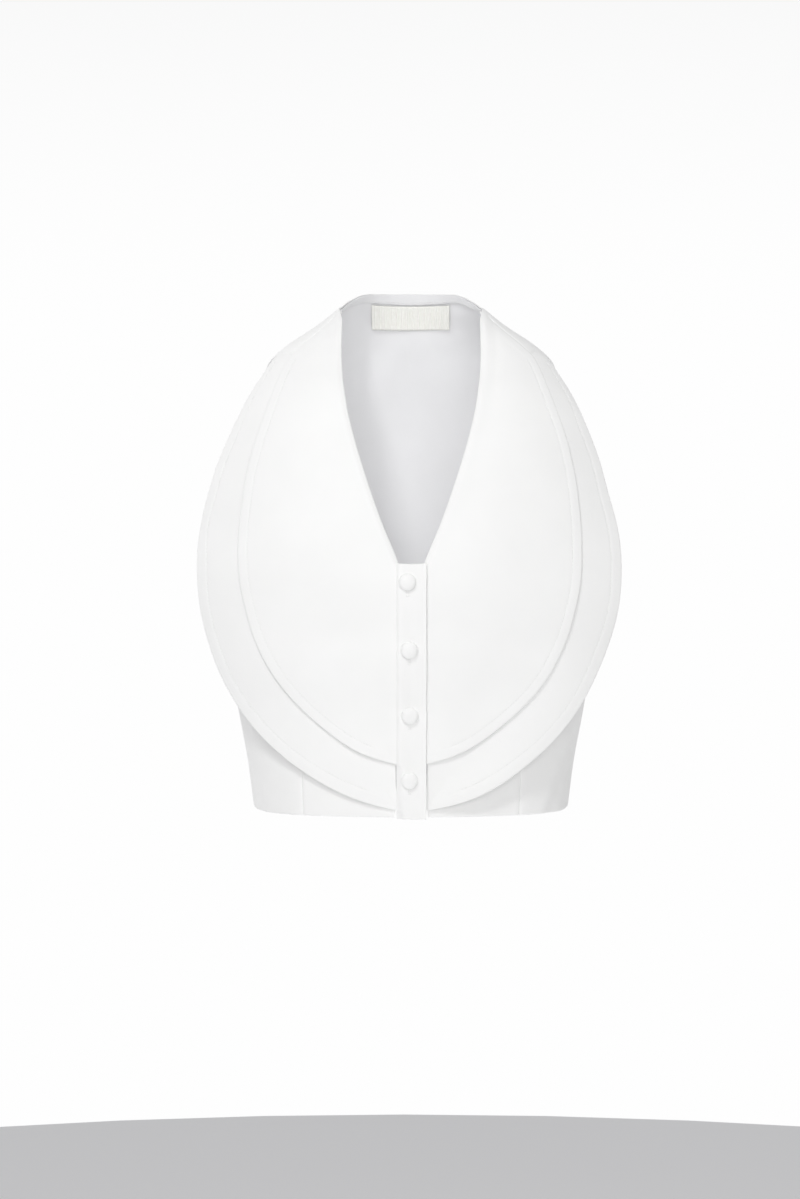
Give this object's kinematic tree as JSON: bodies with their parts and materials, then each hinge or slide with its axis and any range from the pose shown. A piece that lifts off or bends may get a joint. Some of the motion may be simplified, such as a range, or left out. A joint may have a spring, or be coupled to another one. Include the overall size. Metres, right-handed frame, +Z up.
{
  "type": "sleeveless button-front crop top",
  "caption": "Hollow worn form of a sleeveless fitted crop top: deep V neck, button placket, rounded flap tiers on both fronts, open neck, hem and armholes.",
  "frame": {"origin": "midway between the two neck points of the shoulders, where the wearer holds the garment up", "axes": "+Z up, front faces -Y, the wearer's left is +X"},
  "size_m": [0.3623, 0.2327, 0.4601],
  "materials": {
    "crepe": "matt white crepe suiting",
    "facing_crepe": "matt white crepe facing",
    "woven_label": "ivory ribbed weave, bare",
    "covered_button": "white crepe drawn over a domed button"
  },
  "bodies": {
    "root": {"back_panel": "crepe", "centre_front_left": "crepe", "centre_front_right": "crepe", "side_front_left": "crepe", "side_front_right": "crepe", "lower_tier_left": "crepe", "lower_tier_right": "crepe", "upper_tier_left": "crepe", "upper_tier_right": "crepe", "placket": "crepe", "button_stand": "crepe", "back_neck_facing": "facing_crepe", "label": "woven_label", "button_1": "covered_button", "button_2": "covered_button", "button_3": "covered_button", "button_4": "covered_button"}
  },
  "joints": []
}
